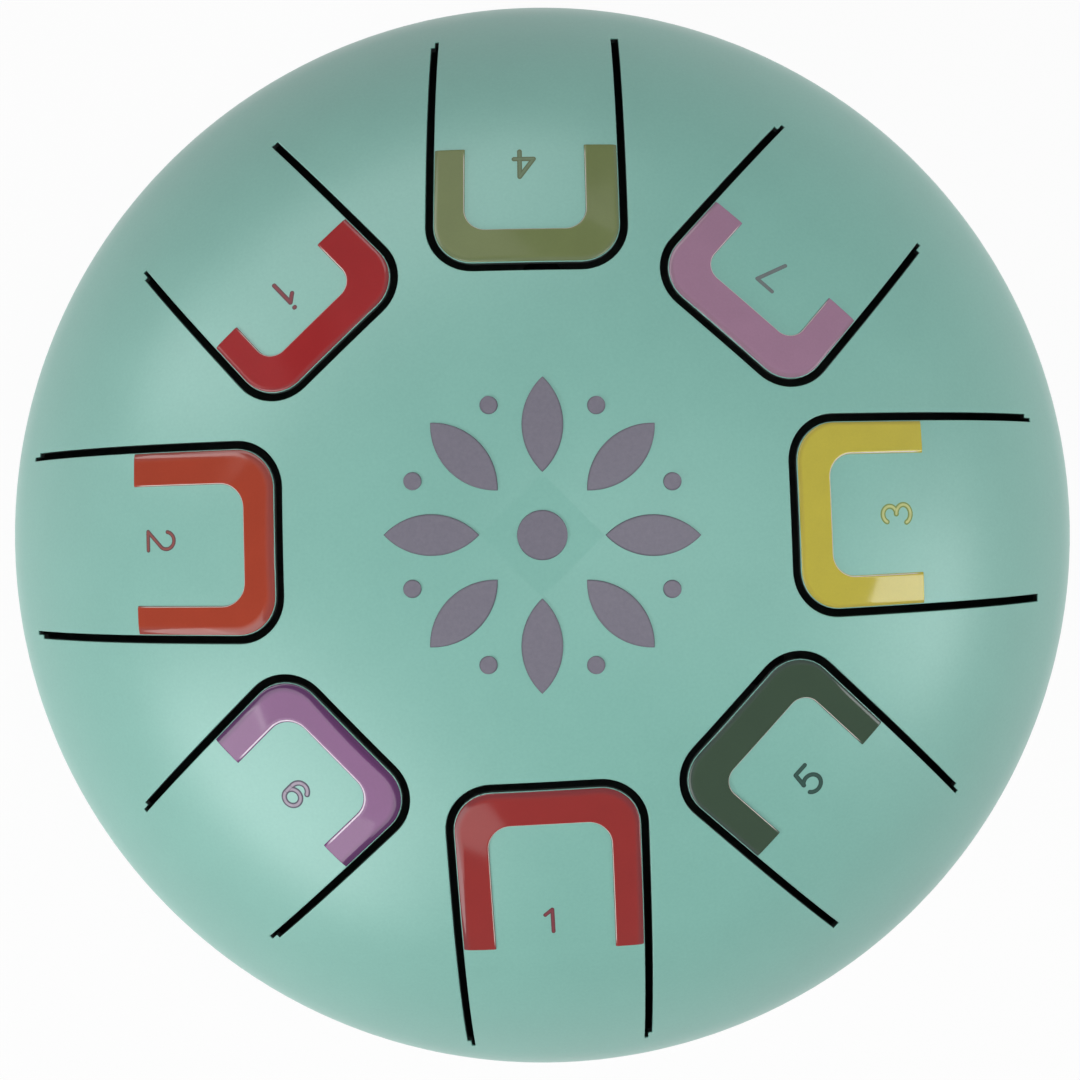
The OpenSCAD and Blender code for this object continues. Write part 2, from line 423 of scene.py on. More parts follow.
class Tongue:
    """Places on one tongue: u runs outwards along it from the drum's axis, v to its left."""

    def __init__(self, joint):
        self.body = joint["child"]
        self.note = self.body.replace("tongue_", "")
        axis, root = np.array(joint["axis"]), np.array(joint["pos_m"])
        self.left = unit(axis[:2])
        self.out = np.array([self.left[1], -self.left[0]])
        self.shift = root[:2] @ self.left
        self.tip, _ = reach_along(self.body, self.out)
        self.root = root[:2] @ self.out + root_gap / 2
        self.band_tip, self.band_end = reach_along("band_" + self.note, self.out)
        self.root_point = root

    def plan(self, u, v):
        """Plan points from u and v, as arrays of one shape."""
        u, v = np.broadcast_arrays(u, v)
        return u[..., None] * self.out + (self.shift + v)[..., None] * self.left


tongues = [Tongue(joint) for joint in frame["joints"]]
for t in tongues:
    print("%-14s tip %.2f root %.2f band to %.2f mm" % (t.body, t.tip / MM, t.root / MM, t.band_end / MM))

# %% [markdown]
# ## Outlines that can grow and shrink
# A paint edge is round, not sharp. To model that, every outline is a function of an inset: the
# same points, drawn in by that much. A strip of such outlines, each a little lower than the last,
# is the rounded edge. The first is where the flat paint ends and the last is the laser's cut.

# %% Half width of a tongue, row by row
across = np.linspace(-1, 1, 25)
corner_turn = np.radians(np.linspace(0, 90, 10))


def tongue_rows(tongue, inset, straight=36):
    """Distance out and half width of each row across a tongue, from its tip to its root.
    Round the tip corner both follow a circle of the corner's radius less the inset."""
    corner = tip_corner - inset
    half = tongue_width / 2
    u_corner = tongue.tip + tip_corner - corner * np.cos(corner_turn)
    w_corner = half - tip_corner + corner * np.sin(corner_turn)
    u_straight = np.linspace(tongue.tip + tip_corner, tongue.root, straight)[1:]
    w_straight = np.full(straight - 1, half - inset)
    return np.concatenate([u_corner, u_straight]), np.concatenate([w_corner, w_straight])


def tongue_border(tongue, inset):
    """The tongue's free edge in plan: up its right side, round the tip and back down its left side."""
    u, w = tongue_rows(tongue, inset)
    tip_v = w[0] * across
    return tongue.plan(np.concatenate([u[::-1], np.full(len(across) - 2, u[0]), u]),
                       np.concatenate([-w[::-1], tip_v[1:-1], w]))


# %% Outline of the hole that a tongue leaves in the shell
# The side on which a slot starts at full width: -1 is a tongue's right and 1 its left
whole_slot_ends = {"tongue_3": -1, "tongue_4": -1, "tongue_5": -1, "tongue_high_1": -1}


def hole_corners(tongue, inset, side):
    """Corners of the slot's outer end on one side, where the laser starts with half its width.
    The slots named in whole_slot_ends were started at full width on that side instead."""
    whole = whole_slot_ends.get(tongue.body) == side
    half = tongue_width / 2
    start = half + (slot_width if whole else slot_width / 2)
    step = tongue.root - (0 if whole else lead_in_length)
    u = np.array([tongue.root, tongue.root + inset, tongue.root + inset, step + inset, step + inset])
    v = np.array([half - inset, half - inset, start + inset, start + inset, half + slot_width + inset])
    return u, side * v


def along_corners(u, v, pieces):
    """Points on straight lines between corners, pieces to each line, without the last corner."""
    share = np.arange(pieces) / pieces
    u_all = (u[:-1, None] + (u[1:] - u[:-1])[:, None] * share).ravel()
    v_all = (v[:-1, None] + (v[1:] - v[:-1])[:, None] * share).ravel()
    return u_all, v_all


def hole_border(tongue, inset, sides=40, tips=20, turns=14):
    """The closed edge of the metal round a tongue: the root line, where tongue and shell are one sheet,
    then the right slot end, the outside of the slot round the tip, and the left slot end."""
    half = tongue_width / 2
    corner = tip_corner + slot_width + inset
    turn = np.radians(np.linspace(0, 90, turns))
    u_end, v_end = hole_corners(tongue, inset, -1)
    u_corner = tongue.tip + tip_corner - corner * np.sin(turn)
    v_corner = half - tip_corner + corner * np.cos(turn)
    u_side = np.array([u_end[-1], u_corner[0]])
    tip_share = np.linspace(-1, 1, tips)[1:-1]
    u_tip = np.full(len(tip_share), u_corner[-1])
    v_tip = tip_share * v_corner[-1]
    parts = [
        (np.full(len(across) - 1, tongue.root), (half - inset) * across[:0:-1]),
        along_corners(u_end, v_end, 3),
        along_corners(u_side, np.full(2, v_end[-1]), sides),
        (u_corner, -v_corner),
        (u_tip, v_tip),
        (u_corner[::-1], v_corner[::-1]),
    ]
    u_end, v_end = hole_corners(tongue, inset, 1)
    u_back, v_back = along_corners(np.array([u_corner[0], u_end[-1]]), np.full(2, v_end[-1]), sides)
    parts.append((u_back[1:], v_back[1:]))
    parts.append(along_corners(u_end[::-1], v_end[::-1], 3))
    return tongue.plan(np.concatenate([p[0] for p in parts]), np.concatenate([p[1] for p in parts]))


print("points round the first hole:", len(hole_border(tongues[0], 0)))

# %% [markdown]
# ## The painted edge
# Paint pulls back from a sharp edge and leaves a radius of about an eighth of a millimetre. In the
# picture it is one pixel wide, yet it catches a fine line of light along every slot, and without it
# the slots look printed on. The strip sinks along a quarter circle while the outline grows to the cut.

# %% Carry the round edge and the cut wall along an outline
edge_turn = np.radians(np.linspace(0, 90, 5))


def edge_strip(patches, border, closed, place=lay, flip=False):
    """border(inset) gives the outline. The paint edge is a quarter circle of radius paint_edge, and the
    wall below it drops straight to the inside of the sheet. The spray reaches a little way down it."""
    cut, drawn_in = border(0), border(paint_edge)
    away = unit(cut - drawn_in)
    away3 = np.concatenate([away, np.zeros(away.shape[:-1] + (1,))], axis=-1)
    rows, tilted = [], []
    for turn in edge_turn:
        point, normal = place(border(paint_edge * (1 - np.sin(turn))))
        point[..., 2] -= paint_edge * (1 - np.cos(turn))
        rows.append(point)
        tilted.append(unit(normal * np.cos(turn) + away3 * np.sin(turn) + 1e-9))
    step = -1 if flip else 1
    patches.grid(np.stack(rows[::step]), np.stack(tilted[::step]), 0, closed)
    levels = [rows[-1], place(cut, depth=paint_reach)[0], place(cut, depth=sheet)[0]]
    for finish, wall in enumerate([levels[:2], levels[1:]]):
        patches.grid(np.stack(wall[::step]), np.stack([away3, away3]), finish, closed)


# %% [markdown]
# ## A shell with holes
# The top shell is a dome with eight finger-shaped holes. A grid can't run round them, and cutting
# them with a Boolean leaves slivers that show in the gloss. So the dome is unrolled to a flat disc,
# filled with evenly spaced points, and triangulated with the outlines as fixed edges. Laid back on
# the arcs, every triangle is well shaped, and the same list of triangles makes the inner skin.

# %% Unroll, fill and triangulate
rim_tilt = np.arccos(weld_half / knuckle_r)


def unroll(plan):
    """Moves plan points outwards from the axis, so that distance becomes length along the section."""
    distance = np.linalg.norm(plan, axis=-1, keepdims=True)
    return plan / np.maximum(distance, 1e-9) * run_at(tilt_at(distance))


def honeycomb(radius, pitch):
    """Points of a triangular lattice inside a circle."""
    steps = int(radius / pitch) + 2
    i, j = np.meshgrid(np.arange(-2 * steps, 2 * steps), np.arange(-2 * steps, 2 * steps))
    points = np.stack([(i + j / 2) * pitch, j * pitch * np.sqrt(0.75)], axis=-1).reshape(-1, 2)
    return points[np.linalg.norm(points, axis=1) < radius]


def in_loop(points, loop):
    """A point is inside if a ray from it towards +x crosses the closed outline an odd number of times."""
    x, y = points[:, 0, None], points[:, 1, None]
    x0, y0 = loop.T
    x1, y1 = np.roll(loop, -1, axis=0).T
    spans = (y0 > y) != (y1 > y)
    level = np.where(y1 == y0, 1, y1 - y0)
    return ((x < x0 + (y - y0) * (x1 - x0) / level) & spans).sum(axis=1) % 2 == 1


def near_loop(points, loop, margin):
    """Points closer than margin to one of the outline's own points."""
    gap = points[:, None, :] - loop[None, :, :]
    return (gap ** 2).sum(axis=2).min(axis=1) < margin ** 2


# Shares of the pitch that the filling points keep from the rim and from an outline
rim_gap, outline_gap = 0.7, 0.6
joined_within = 1e-9


def triangulate(borders, pitch, rim_points):
    """Fills the unrolled disc round the closed outlines in borders with even triangles. Returns the
    points, first the rim's and the outlines' own, the triangles, and where each outline starts."""
    full_run = run_at(np.array(rim_tilt))
    around = np.arange(rim_points) * 2 * np.pi / rim_points
    rim = full_run * np.stack([np.cos(around), np.sin(around)], axis=-1)
    fill = honeycomb(full_run - rim_gap * pitch, pitch)
    for border in borders:
        fill = fill[~(in_loop(fill, border) | near_loop(fill, border, outline_gap * pitch))]
    loops = [rim, *borders]
    starts = np.cumsum([0] + [len(loop) for loop in loops])
    edges = [np.stack([np.arange(a, b), np.roll(np.arange(a, b), -1)], 1)
             for a, b in zip(starts[:-1], starts[1:])]
    points = np.concatenate([*loops, fill])
    made = delaunay_2d_cdt(points.tolist(), np.concatenate(edges).tolist(), [], 0, joined_within)
    source = np.array([owners[0] for owners in made[3]])
    faces = source[np.array(made[2])]
    middle = points[faces].mean(axis=1)
    for border in borders:
        outside = ~in_loop(middle, border)
        faces, middle = faces[outside], middle[outside]
    a, b, c = (points[faces[:, k]] for k in range(3))
    turned = (b - a)[:, 0] * (c - a)[:, 1] < (b - a)[:, 1] * (c - a)[:, 0]
    faces[turned] = faces[turned][:, ::-1]
    return points, faces, starts


print("length along the section, crown to rim: %.1f mm" % (run_at(np.array(rim_tilt)) / MM))


# %% [markdown]
# ## Closing the shell
# Outside, round edges, cut walls and inside skin are patches of one mesh. At the rim a V groove is
# left for the weld. Near the rim the section stands upright, so the inside skin can't lie straight
# below the outside there, and it is pulled in by the sheet's thickness instead.

# %% Sew a shell from its patches
pull_from, pull_to = drum_radius - 5.5 * MM, drum_radius


def pulled_in(plan):
    """Plan points of the inside skin: the outside's own, drawn towards the axis close to the rim."""
    distance = np.linalg.norm(plan, axis=-1, keepdims=True)
    share = np.clip((distance - pull_from) / (pull_to - pull_from), 0, 1)
    return plan * (1 - sheet * share * share * (3 - 2 * share) / np.maximum(distance, 1e-9))


def lay_under(plan, depth=0.0):
    """The same as lay, for the bottom shell, which is the top one's mirror image in the weld's plane."""
    point, normal = lay(plan, depth)
    point[..., 2] = 2 * weld_height - point[..., 2]
    return point, normal * np.array([1, 1, -1])


def ring(radius, height, count):
    """A level circle of points."""
    around = np.arange(count) * 2 * np.pi / count
    return np.stack([radius * np.cos(around), radius * np.sin(around), np.full(count, height)], axis=-1)


def shell_piece(name, borders, under=False, pitch=1.7 * MM, rim_points=300):
    """A whole shell. borders are functions of the inset, one for each hole, all clockwise from above."""
    place = lay_under if under else lay
    side = -1 if under else 1
    points, faces, starts = triangulate([unroll(b(paint_edge)) for b in borders], pitch, rim_points)
    run = np.linalg.norm(points, axis=-1, keepdims=True)
    rho, _ = dome_at(tilt_of_run(run))
    plan = points / np.maximum(run, 1e-9) * rho
    outer, inner = plan.copy(), pulled_in(plan)
    for border, a, b in zip(borders, starts[1:-1], starts[2:]):
        outer[a:b], inner[a:b] = border(paint_edge), border(0)
    patches = Patches()
    outside, normal = place(outer)
    patches.add(outside, normal, faces[:, ::side])
    within, in_normal = place(inner, depth=sheet)
    patches.add(within, -in_normal, faces[:, ::-side], 1)
    for border in borders:
        edge_strip(patches, border, True, place, flip=not under)
    groove = ring(drum_radius - weld_half, weld_height, rim_points)
    lip = ring(drum_radius - sheet, weld_height, rim_points)
    rows = np.stack([outside[:rim_points], groove, lip, within[:rim_points]])[::-side]
    patches.grid(rows, np.array([0, 0, -side]), 1, closed=True)
    return patches.sew(name, [shell_paint, inside])


hole_borders = [lambda inset, t=t: hole_border(t, inset) for t in tongues]
top = shell_piece("top_shell_painted", hole_borders)
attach(top, "drum")
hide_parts("top_shell")
report(top)

# %% [markdown]
# ## The bottom shell
# It is the same pressing, with a round sound hole in the middle and three small holes that the
# feet snap into. Only the outlines differ, so the same function makes it.

# %% Bottom shell with its sound hole
sound_hole_radius = 25.0 * MM
foot_hole_radius = 3.1 * MM
foot_names = ["rear_foot", "left_foot", "right_foot"]
foot_centres = [np.array((sum(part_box(name)[k][0] for k in (0, 1)) / 2,
                          sum(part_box(name)[k][1] for k in (0, 1)) / 2)) for name in foot_names]


def round_border(centre, radius, count, inset):
    """A circle round centre, clockwise, grown by the inset."""
    around = -np.arange(count) * 2 * np.pi / count
    return centre + (radius + inset) * np.stack([np.cos(around), np.sin(around)], axis=-1)


bottom_borders = [lambda inset: round_border(np.zeros(2), sound_hole_radius, 120, inset)]
bottom_borders += [lambda inset, c=c: round_border(c, foot_hole_radius, 28, inset) for c in foot_centres]
bottom = shell_piece("bottom_shell_painted", bottom_borders, under=True, pitch=2.2 * MM)
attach(bottom, "drum")
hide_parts("bottom_shell")
report(bottom)

# %% [markdown]
# ## The weld
# A thin bead closes the V between the two rims and is ground almost flush before painting. What is
# left is a slightly rippled line. It is a closed ring whose profile is swept round the axis, and the
# ripples are a sum of three waves, so that they don't look stamped.

# %% Weld bead round the rim
# Waves of the ripples: how many go round, how strong they are and where they start
weld_waves = [(157, 1.0, 0), (83, 0.6, 1), (29, 0.5, 2)]
weld_dent = 0.03 * MM
weld_lean = 0.35


def weld_piece(count=900):
    """Profile: a V to the groove's bottom, and outside the knuckle's own curve, dented by the ripples."""
    around = np.arange(count) * 2 * np.pi / count
    ripple = sum(strength * np.sin(number * around + start) for number, strength, start in weld_waves)
    ripple = ripple / sum(strength for _, strength, _ in weld_waves)
    lift = np.linspace(-1, 1, 9)[:, None]
    height = lift * weld_half
    bulge = drum_radius - knuckle_r + np.sqrt(knuckle_r ** 2 - height ** 2)
    radius = bulge - weld_dent * (1 + ripple) * (1 - lift ** 4)
    rows = np.stack([radius * np.cos(around), radius * np.sin(around),
                     np.broadcast_to(weld_height + height, radius.shape)], axis=-1)
    groove = ring(drum_radius - weld_half, weld_height, count)[None]
    patches = Patches()
    outward = unit(np.stack([np.cos(around), np.sin(around), 0 * around], axis=-1))
    tilted = unit(outward[None] + lift[..., None] * np.array([0, 0, weld_lean]))
    patches.grid(rows, tilted, 0, closed=True)
    patches.grid(np.concatenate([rows[-1:], groove, rows[:1]]), -outward[None], 0, closed=True)
    return patches.sew("rim_weld_bead", [shell_paint])


weld = weld_piece()
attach(weld, "drum")
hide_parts("rim_weld")
report(weld)

# %% [markdown]
# ## Tongues
# On the real drum a tongue is part of the shell's sheet and bends along its whole length. In the CAD
# model it is a body of its own on a stiff hinge at its root. The visual tongue lies on the same dome
# as the shell and meets it at the root.
# A tongue is a plain grid, rows out along it and columns across, with its edge strip round three sides.


def tongue_piece(tongue):
    """Top and bottom are grids between the two sides, one drawn in by the paint's edge and one not."""
    patches = Patches()
    u, w = tongue_rows(tongue, paint_edge)
    top_points, top_normals = lay(tongue.plan(u[:, None], w[:, None] * across))
    patches.grid(top_points[:, ::-1], top_normals[:, ::-1])
    u, w = tongue_rows(tongue, 0)
    low_points, low_normals = lay(tongue.plan(u[:, None], w[:, None] * across), depth=sheet)
    patches.grid(low_points, -low_normals, 1)
    edge_strip(patches, lambda inset: tongue_border(tongue, inset), False)
    end = []
    for turn in edge_turn:
        half = tongue_rows(tongue, paint_edge * (1 - np.sin(turn)))[1][-1]
        row, _ = lay(tongue.plan(np.full(len(across), tongue.root), half * across))
        row[:, 2] -= paint_edge * (1 - np.cos(turn))
        end.append(row)
    end += [lay(tongue.plan(u[-1], w[-1] * across), depth=paint_reach)[0], low_points[-1]]
    patches.grid(np.stack(end)[:, ::-1], np.append(tongue.out, 0), 1)
    piece = patches.sew(tongue.body + "_painted", [shell_paint, inside])
    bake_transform(piece)
    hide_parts(tongue.body)
    return piece


tongue_pieces = [tongue_piece(t) for t in tongues]
for piece in tongue_pieces:
    report(piece)

# %% [markdown]
# ## Resin bands
# The colour bands are decals under clear resin that has flowed to a soft edge, like a domed badge.
# Cut with a bevel they would show two hard lines. Here the height over the paint follows a quarter
# ellipse near every edge and a faint crown over the middle, and the normals come from the same
# formula, so one broad highlight and one thin one run along each band.

# %% Resin material
edge_gloss = 0.8


def resin(name, body, edge, roll, gloss, bare=0.1, pale=(226, 216, 208)):
    """The print's colour under clear resin. It is deeper over the outer roll, in a thin strip along the
    inner edge and at the cut ends: painted shade where the resin turns down. A pale line, a painted
    highlight, runs along the inner edge, a given width in. The resin shines fully on the rolled edges,
    and as much as gloss says on its flat top. roll and the line's inset are in millimetres."""
    finish = Finish(name, **{"Coat Roughness": 0.07, "Coat IOR": 1.5, "Specular IOR Level": 0.0})
    cloud = finish.noise(4 * MM, detail=3)
    grain = finish.noise(0.25 * MM, detail=1)
    shore, lip, end = (finish.attribute(a) for a in ("shore", "lip", "end"))
    lighter, darker = srgb(*[1.03 * c for c in body]), srgb(*[0.93 * c for c in body])
    body = finish.mix(cloud * 0.6 + grain * 0.4, lighter, darker)
    # Painted shade: the deeper colour over the outer roll, a thin strip at the inner edge and the cut ends.
    top = shore.between(0.3 * roll, 1.1 * roll) * lip.between(0, 0.4 * bare) * end.between(0.02, 0.2)
    colour = finish.mix(top, srgb(*edge), body)
    # Painted highlight: a pale line along the inner edge.
    line = lip.between(0.4 * bare, 0.7 * bare) * (1 - lip.between(1.1 * bare, 1.6 * bare))
    colour = finish.mix(line * end.between(0.3, 1.5), colour, srgb(*pale))
    flat = shore.between(0.5 * roll, 1.2 * roll) * lip.between(0.1, 0.3)
    finish.plug(finish.shader, {"Base Color": colour, "Roughness": 0.4 + 0.1 * cloud,
                                "Coat Weight": edge_gloss - (edge_gloss - gloss) * flat})
    finish.bump(finish.noise(2.5 * MM, detail=1), 0.008 * MM)
    return finish.material


# Colour of each band, its deeper colour at the outer roll, which is painted shade, the widths in
# millimetres of its outer and inner rolls, how much of its flat top is clear gloss, as some bands are
# nearly matt with wear, and on two bands a wider painted highlight along the inner edge, once with a
# colour of its own
band_look = {
    "1": ((155, 40, 37), (128, 26, 32), 0.9, 0.2, 0.5),
    "2": ((176, 70, 48), (150, 54, 42), 1.1, 0.2, 0.15),
    "3": ((200, 186, 50), (184, 168, 56), 0.6, 0.35, 1.0, 0.14),
    "4": ((122, 135, 85), (108, 122, 80), 0.5, 0.2, 0.25),
    "5": ((62, 83, 65), (46, 66, 56), 0.6, 0.2, 0.3),
    "6": ((122, 56, 122), (82, 28, 88), 1.2, 0.6, 0.8, 0.24, (236, 218, 236)),
    "7": ((169, 130, 156), (148, 112, 134), 0.6, 0.2, 0.3),
    "high_1": ((170, 49, 51), (144, 36, 42), 0.5, 0.2, 0.05),
}
band_finish = {note: resin("resin_" + note, body, edge, roll, *gloss)
               for note, (body, edge, roll, inner_roll, *gloss) in band_look.items()}

# %% [markdown]
# ## Bands laid by hand
# The bands were cut by machine but laid by hand, so no two sit alike: a leg is a third of a
# millimetre thinner here, an end shorter there. Such small misfits are what makes eight equal
# parts look real. They are kept in one table, and the outline function takes them as plain sizes.

# %% Band shape
band_margin = 0.1 * MM
band_leg = 3.9 * MM
band_tip = 4.4 * MM
band_inner_corner = 3.0 * MM
resin_height = 0.28 * MM
resin_edge = 0.2 * MM
resin_crown = 0.03 * MM
resin_seat = 0.02 * MM
resin_columns = 25
# In millimetres: how much thinner each band's left leg, right leg and tip are, how much shorter its
# left and right legs, by what share its outer roll widens to the left, and how much tighter its
# inner corners are
hand_laid = {
    "1": (0.3, -0.2, 0.1, 0.0, 0.4, -0.2, 0.1),
    "2": (0.3, -0.3, 0.5, 0.5, 0.3, 0.3, 0.0),
    "3": (-0.1, 0.0, 0.3, -0.1, 0.4, 0.0, 0.2),
    "4": (0.1, -0.2, 0.2, 0.7, 0.3, 0.0, 0.4),
    "5": (0.2, -0.2, -0.2, -0.1, 0.3, 0.0, 0.8),
    "6": (0.0, -0.2, 0.6, 0.3, -0.1, 0.4, 0.0),
    "7": (-0.4, -0.4, -0.3, 0.3, 0.2, 0.0, 0.8),
    "high_1": (0.2, -0.9, 0.2, 0.6, 0.3, 0.0, 0.7),
}


def band_outline(tongue, left, right, near, left_end, right_end, corner, legs=34, tips=14, turns=14):
    """One outline of the U from the right leg's end round to the left leg's end: a straight leg, a
    quarter circle, the tip, and the same again. left, right and near are the distances of its sides
    and its tip from the tongue's. Point counts don't depend on any of them."""
    half = tongue_width / 2
    turn = np.radians(np.linspace(0, 90, turns))
    leg_share = np.sin(np.linspace(0, np.pi / 2, legs))[:0:-1]
    leg_share[0] = 1.0
    u_near = tongue.tip + near
    u_turn = u_near + corner * (1 - np.sin(turn))
    v_turn = -corner * (1 - np.cos(turn))
    v_right, v_left = right - half, half - left
    tip_v = np.linspace(v_right + corner, v_left - corner, tips)[1:-1]
    u_right = u_near + corner + (tongue.band_end - right_end - u_near - corner) * leg_share
    u_left = u_near + corner + (tongue.band_end - left_end - u_near - corner) * leg_share
    u = np.concatenate([u_right, u_turn, np.full(len(tip_v), u_near), u_turn[::-1], u_left[::-1]])
    v = np.concatenate([np.full(len(u_right), v_right), v_right - v_turn, tip_v, v_left + v_turn[::-1],
                        np.full(len(u_left), v_left)])
    return u, v


def rounded(share):
    """Height and slope terms of a quarter ellipse, 0 at the edge and 1 a full edge width in."""
    x = np.clip(share, 0, 1)
    return np.sqrt(1 - (1 - x) ** 2), 1 - x


def band_piece(tongue):
    """Across, the points bunch towards both edges as (1 - cos) / 2. Height over the paint is the
    product of three quarter ellipses, of the outer roll, the inner edge and the leg's end, times the
    resin's height and crown. The normal leans away from each by its own slope."""
    left_thin, right_thin, tip_thin, left_short, right_short, sway, tighter = hand_laid[tongue.note]
    ends = left_short * MM, right_short * MM
    outer = band_outline(tongue, band_margin, band_margin, band_margin, *ends, tip_corner - band_margin)
    leg, tip = band_margin + band_leg, band_margin + band_tip
    inner = band_outline(tongue, leg - left_thin * MM, leg - right_thin * MM, tip - tip_thin * MM, *ends,
                         band_inner_corner - tighter * MM)
    t = (1 - np.cos(np.linspace(0, np.pi, resin_columns))) / 2
    u = outer[0][:, None] + (inner[0] - outer[0])[:, None] * t
    v = outer[1][:, None] + (inner[1] - outer[1])[:, None] * t
    width = np.hypot(inner[0] - outer[0], inner[1] - outer[1])[:, None]
    outer_roll, inner_roll = band_look[tongue.note][2:4]
    roll, inner_roll = outer_roll * MM * (1 + sway * outer[1] / tongue_width * 2)[:, None], inner_roll * MM
    shortened = np.where(outer[1] > 0, *ends)[:, None]
    shore, lip, end = t * width, (1 - t) * width, tongue.band_end - shortened - u
    outer_rise, outer_slope = rounded(shore / roll)
    inner_rise, inner_slope = rounded(lip / inner_roll)
    end_rise, end_slope = rounded(end / resin_edge)
    height = resin_height + resin_crown * 4 * t * (1 - t)
    rise = outer_rise * inner_rise * end_rise * height
    paint, up = lay(tongue.plan(u, v))
    lateral = tongue.plan(outer[0], outer[1]) - tongue.plan(inner[0], inner[1])
    lateral = np.concatenate([unit(lateral), np.zeros((len(lateral), 1))], axis=1)[:, None]
    lateral = unit(lateral - up * (lateral * up).sum(axis=-1, keepdims=True))
    side_lean = (outer_slope / roll * (inner_rise * end_rise) ** 2
                 - inner_slope / inner_roll * (outer_rise * end_rise) ** 2
                 - 4 * resin_crown * (1 - 2 * t) / width / resin_height * outer_rise * inner_rise)
    end_lean = end_slope / resin_edge * (outer_rise * inner_rise) ** 2
    normal = unit(side_lean[..., None] * lateral + end_lean[..., None] * np.append(tongue.out, 0)
                  + (outer_rise * inner_rise * end_rise / resin_height)[..., None] * up)
    low = paint - resin_seat * up
    top = low + rise[..., None] * up
    patches = Patches()
    patches.grid(top, normal, shore=shore / MM, lip=lip / MM, end=end / MM)
    patches.grid(low[:, ::-1], -up[:, ::-1])
    piece = patches.sew("band_%s_resin" % tongue.note, [band_finish[tongue.note]])
    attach(piece, tongue.body)
    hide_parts("band_" + tongue.note)
    return piece


bands = [band_piece(t) for t in tongues]
for piece in bands:
    report(piece)

# %% [markdown]
# ## Numbers
# Each tongue has its number painted between the legs of its band, upright for someone who looks
# from the rim. A font would bring a maker's letters with it, so the figures are drawn here with a
# round pen: straight strokes and arcs in a box one unit high. A stroke is a ribbon a twentieth of a
# millimetre thick with round ends, laid on the dome like everything else.

# %% Pen strokes of the figures
line_points, bow_points, cap_points, pen_columns = 9, 33, 6, 13


def line(*corners):
    """Straight strokes between corners, one for each pair."""
    return [np.linspace(a, b, line_points) for a, b in zip(corners[:-1], corners[1:])]


def bow(centre, radius, from_degrees, to_degrees):
    """An arc of a circle, as one stroke. radius may be a pair for an ellipse."""
    angle = np.radians(np.linspace(from_degrees, to_degrees, bow_points))
    return [np.array(centre) + np.array(radius) * np.stack([np.cos(angle), np.sin(angle)], axis=-1)]


# Two strokes that share a row of points aren't closed pieces, so the stem of the 6 starts a little
# above the middle of its loop. A bow tighter than the pen folds over itself, so a dot is a short line.
figures = {
    "1": line((0.12, 0.76), (0.42, 1.0), (0.42, 0.0)),
    "2": bow((0.34, 0.70), (0.30, 0.30), 170, -38) + line((0.576, 0.515), (0.02, 0.0), (0.68, 0.0)),
    "3": bow((0.32, 0.755), (0.27, 0.245), 155, -88) + bow((0.32, 0.26), (0.31, 0.26), 88, -155),
    "4": line((0.50, 0.0), (0.50, 1.0), (0.0, 0.30), (0.70, 0.30)),
    "5": line((0.62, 1.0), (0.14, 1.0), (0.07, 0.50)) + bow((0.32, 0.32), (0.33, 0.32), 140, -150),
    "6": bow((0.34, 0.31), (0.32, 0.31), 0, 360) + line((0.02, 0.33), (0.02, 0.64))
         + bow((0.35, 0.64), (0.33, 0.36), 180, 28),
    "7": line((0.02, 1.0), (0.66, 1.0), (0.24, 0.0)),
    "high_1": line((0.12, 0.76), (0.42, 1.0), (0.42, 0.0)) + line((0.42, 1.26), (0.44, 1.26)),
}
figure_width = 0.68
ink = 0.05 * MM
ink_step = 0.003 * MM
seat = 0.01 * MM


def stroke_rows(path, pen):
    """Path points with round caps: extra rows before and after, pen * cos beyond the end and
    pen * sin wide. Also gives each row's half width and how far it lies beyond the path's end."""
    turn = np.radians(np.linspace(0, 90, cap_points))[:-1]
    first, last = unit(path[0] - path[1]), unit(path[-1] - path[-2])
    points = np.concatenate([path[0] + first * pen * np.cos(turn)[:, None], path,
                             path[-1] + last * pen * np.cos(turn[::-1])[:, None]])
    half = np.concatenate([pen * np.sin(turn), np.full(len(path), pen), pen * np.sin(turn[::-1])])
    beyond = np.concatenate([pen * np.cos(turn), np.zeros(len(path)), pen * np.cos(turn[::-1])])
    ahead = unit(np.concatenate([np.repeat(-first[None], len(turn), 0), np.gradient(path, axis=0),
                                 np.repeat(last[None], len(turn), 0)]))
    return points, half, beyond, ahead


def number_piece(tongue, top_u, bottom_u, middle_v, pen, finish):
    """Figures stand with their head towards the drum's middle: up in the figure's box is less u. All
    but the dot of high 1 stay inside the box. A stroke is ink * sqrt(1 - x^4) thick, x from its middle
    line to its edge, so where two cross, the middle of each lies over the edge of the other."""
    height = bottom_u - top_u - 2 * pen
    patches = Patches()
    c = np.sin(np.linspace(-np.pi / 2, np.pi / 2, pen_columns))
    for order, path in enumerate(figures[tongue.note]):
        u = bottom_u - pen - height * path[:, 1]
        v = middle_v + height * (path[:, 0] - figure_width / 2)
        points, half, beyond, ahead = stroke_rows(np.stack([u, v], axis=-1), pen)
        sideways = np.stack([-ahead[:, 1], ahead[:, 0]], axis=-1)
        plan = points[:, None] + sideways[:, None] * (half[:, None] * c)[..., None]
        paint, up = lay(tongue.plan(plan[..., 0], plan[..., 1]))
        x = np.minimum(np.hypot(beyond[:, None], half[:, None] * c) / pen, 1)
        low = paint - seat * up
        top = low + ((ink + ink_step * order) * np.sqrt(1 - x ** 4))[..., None] * up
        patches.grid(top[:, ::-1], up[:, ::-1], shore=(1 - x)[:, ::-1])
        patches.grid(low, -up)
    piece = patches.sew("number_" + tongue.note, [finish])
    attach(piece, tongue.body)
    return piece


